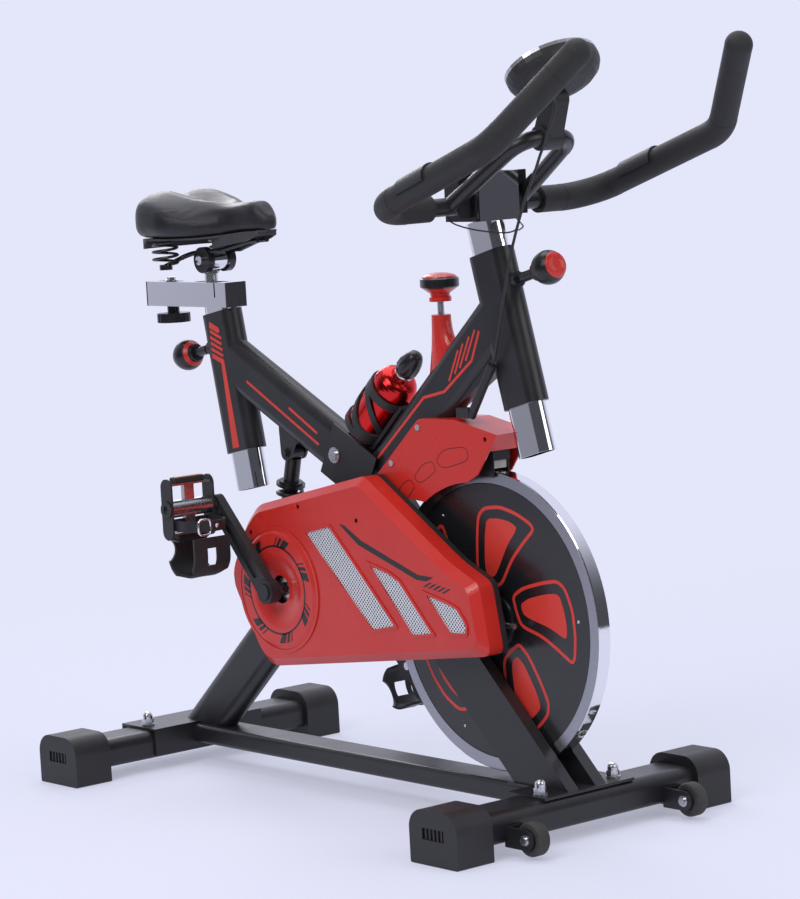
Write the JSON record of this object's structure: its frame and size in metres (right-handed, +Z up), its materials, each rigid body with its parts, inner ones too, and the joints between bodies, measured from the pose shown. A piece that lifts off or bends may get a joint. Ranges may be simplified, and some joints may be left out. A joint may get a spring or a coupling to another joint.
{
  "type": "indoor spin bike",
  "caption": "Stationary spin bike with belt-driven chromed flywheel, felt brake knob, sprung seat stay, sliding saddle, height-adjustable handlebar, console, cage pedals and bottle",
  "frame": {"origin": "on the floor, below the middle of the bike's length and width", "axes": "+X forward to the handlebar tips, +Y to the rider's left, +Z up"},
  "size_m": [1.1923, 0.52, 1.0956],
  "materials": {
    "frame_black": "satin black powder coat",
    "case_red": "glossy red moulded plastic",
    "print_panel": "printed dish with a dark ring",
    "mesh_silver": "woven silver mesh",
    "cover_red": "glossy red moulded plastic",
    "chrome": "polished chrome plating",
    "disc_black": "printed black disc with red windows",
    "steel": "zinc-plated or machined steel",
    "alloy": "cast alloy, tumbled",
    "black_plastic": "fine-grained black plastic",
    "gloss_black": "smooth black plastic",
    "rubber": "matt black rubber",
    "foam": "closed-cell foam sleeve",
    "vinyl": "grained black vinyl",
    "felt": "pale wool felt",
    "silver_plastic": "silver-painted plastic",
    "lens": "dark display window",
    "button_red": "red moulded plastic",
    "bottle_red": "red anodised aluminium"
  },
  "bodies": {
    "frame": {"main_frame": "frame_black", "fork_legs": "frame_black", "base_beam": "frame_black", "rear_stabilizer": "frame_black", "front_stabilizer": "frame_black", "stabilizer_end_caps": "black_plastic", "fasteners": "steel", "case_right": "case_red", "case_left": "black_plastic", "crank_dish": "print_panel", "mesh_inserts": "mesh_silver", "upper_cover_right": "cover_red", "upper_cover_left": "cover_red", "bearings": "steel", "rod_shroud": "cover_red", "bottle_cage": "frame_black", "drive_belt": "rubber", "cable_sleeve": "black_plastic", "sensor_cable": "rubber"},
    "shock_lower": {"shock_rod": "steel", "shock_spring": "gloss_black"},
    "shock_upper": {"shock_cylinder": "gloss_black"},
    "crankset": {"crank_axle": "steel", "drive_pulley": "alloy", "crank_arms": "alloy", "pedal_axles": "steel"},
    "pedal_r": {"pedal_right": "alloy", "toe_clip_right": "black_plastic"},
    "pedal_l": {"pedal_left": "alloy", "toe_clip_left": "black_plastic"},
    "wheel": {"flywheel": "chrome", "flywheel_discs": "disc_black", "flywheel_axle": "steel"},
    "roller_r": {"transport_wheel_right": "rubber"},
    "roller_l": {"transport_wheel_left": "rubber"},
    "stay": {"seat_stay": "frame_black"},
    "seat_mast": {"seat_post": "chrome", "rail_plugs": "black_plastic"},
    "carriage": {"seat_carriage": "steel", "saddle_clamp": "chrome"},
    "lock_knob": {"slider_knob": "gloss_black"},
    "saddle": {"saddle_springs": "gloss_black", "saddle_base": "gloss_black", "saddle_cover": "vinyl"},
    "seat_pop_pin": {"seat_pin": "gloss_black"},
    "bars": {"handlebar_post": "chrome", "handlebar": "gloss_black", "grips": "foam", "pulse_sensors": "steel", "console_back": "black_plastic", "console_face": "silver_plastic", "console_lens": "lens"},
    "button": {"console_button": "button_red"},
    "bar_pop_pin": {"bar_pin": "gloss_black"},
    "rod": {"tension_rod": "steel"},
    "knob": {"resistance_knob": "button_red"},
    "brake": {"brake_arm": "frame_black", "brake_pad": "felt"},
    "drink": {"bottle": "bottle_red"},
    "drink_cap": {"bottle_cap": "black_plastic"}
  },
  "joints": [
    {"name": "flywheel_spin", "type": "hinge", "parent": "frame", "child": "wheel", "pos_m": [0.20504, 0, 0.286], "axis": [0, 1, 0], "continuous": true},
    {"name": "crank_spin", "type": "hinge", "parent": "frame", "child": "crankset", "pos_m": [-0.193, 0, 0.30905], "axis": [0, 1, 0], "continuous": true},
    {"name": "pedal_right_spin", "type": "hinge", "parent": "crankset", "child": "pedal_r", "pos_m": [-0.30675, -0.157, 0.43539], "axis": [0, 1, 0], "continuous": true},
    {"name": "pedal_left_spin", "type": "hinge", "parent": "crankset", "child": "pedal_l", "pos_m": [-0.07924, 0.121, 0.18272], "axis": [0, 1, 0], "continuous": true},
    {"name": "wheel_right_spin", "type": "hinge", "parent": "frame", "child": "roller_r", "pos_m": [0.421, -0.15, 0.029], "axis": [0, 1, 0], "continuous": true},
    {"name": "wheel_left_spin", "type": "hinge", "parent": "frame", "child": "roller_l", "pos_m": [0.421, 0.15, 0.029], "axis": [0, 1, 0], "continuous": true},
    {"name": "seat_suspension", "type": "hinge", "parent": "frame", "child": "stay", "pos_m": [-0.11458, 0, 0.50816], "axis": [0, 1, 0], "range_deg": [-4, 0], "stiffness_Nm_per_rad": 3000, "springref_deg": 1.72},
    {"name": "shock_swing", "type": "hinge", "parent": "frame", "child": "shock_lower", "pos_m": [-0.28116, 0, 0.3584], "axis": [0, 1, 0], "range_deg": [-0.2, 1.4]},
    {"name": "shock_compress", "type": "slide", "parent": "shock_lower", "child": "shock_upper", "axis": [0.2502, 0, 0.9682], "range_m": [-0.0095, 0.0005], "deforming": ["shock_spring"]},
    {"name": "seat_height", "type": "slide", "parent": "stay", "child": "seat_mast", "axis": [-0.1942, 0, 0.981], "range_m": [0, 0.12]},
    {"name": "seat_fore_aft", "type": "slide", "parent": "seat_mast", "child": "carriage", "axis": [1, 0, 0], "range_m": [-0.025, 0.025]},
    {"name": "slider_knob_turn", "type": "hinge", "parent": "carriage", "child": "lock_knob", "pos_m": [-0.52892, 0, 0.71081], "axis": [0, 0, 1], "range_deg": [0, 360]},
    {"name": "saddle_tilt", "type": "hinge", "parent": "carriage", "child": "saddle", "pos_m": [-0.41292, 0, 0.79481], "axis": [0, 1, 0], "range_deg": [-6, 6]},
    {"name": "seat_pin_pull", "type": "slide", "parent": "stay", "child": "seat_pop_pin", "axis": [-0.981, 0, -0.1942], "range_m": [-0.008, 0]},
    {"name": "bar_height", "type": "slide", "parent": "frame", "child": "bars", "axis": [-0.2588, 0, 0.9659], "range_m": [0, 0.12]},
    {"name": "bar_pin_pull", "type": "slide", "parent": "frame", "child": "bar_pop_pin", "axis": [0.9659, 0, 0.2588], "range_m": [-0.008, 0]},
    {"name": "console_button_press", "type": "slide", "parent": "bars", "child": "button", "axis": [-0.5736, 0, 0.8192], "range_m": [-0.0015, 0], "stiffness_N_per_m": 400, "springref_m": 0.001},
    {"name": "brake_push", "type": "slide", "parent": "frame", "child": "rod", "axis": [0, 0, 1], "range_m": [-0.006, 0], "stiffness_N_per_m": 3000, "springref_m": 0.006},
    {"name": "brake_arm_swing", "type": "hinge", "parent": "frame", "child": "brake", "pos_m": [0.23004, 0, 0.548], "axis": [0, 1, 0], "range_deg": [-3.2, 0.1]},
    {"name": "knob_turn", "type": "hinge", "parent": "rod", "child": "knob", "pos_m": [0.11304, 0, 0.737], "axis": [0, 0, 1], "range_deg": [0, 720]},
    {"name": "bottle_lift", "type": "slide", "parent": "frame", "child": "drink", "axis": [0.7466, 0, 0.6652], "range_m": [0, 0.045]},
    {"name": "cap_turn", "type": "hinge", "parent": "drink", "child": "drink_cap", "pos_m": [-0.07203, 0, 0.54608], "axis": [0.7466, 0, 0.6652], "range_deg": [0, 360]}
  ],
  "couplings": [
    {"joint": "crank_spin", "follows": "flywheel_spin", "ratio": 0.28889},
    {"joint": "shock_swing", "follows": "seat_suspension", "ratio": -0.274},
    {"joint": "shock_compress", "follows": "seat_suspension", "m_per_rad": 0.12251},
    {"joint": "brake_arm_swing", "follows": "brake_push", "rad_per_m": 8.547}
  ]
}
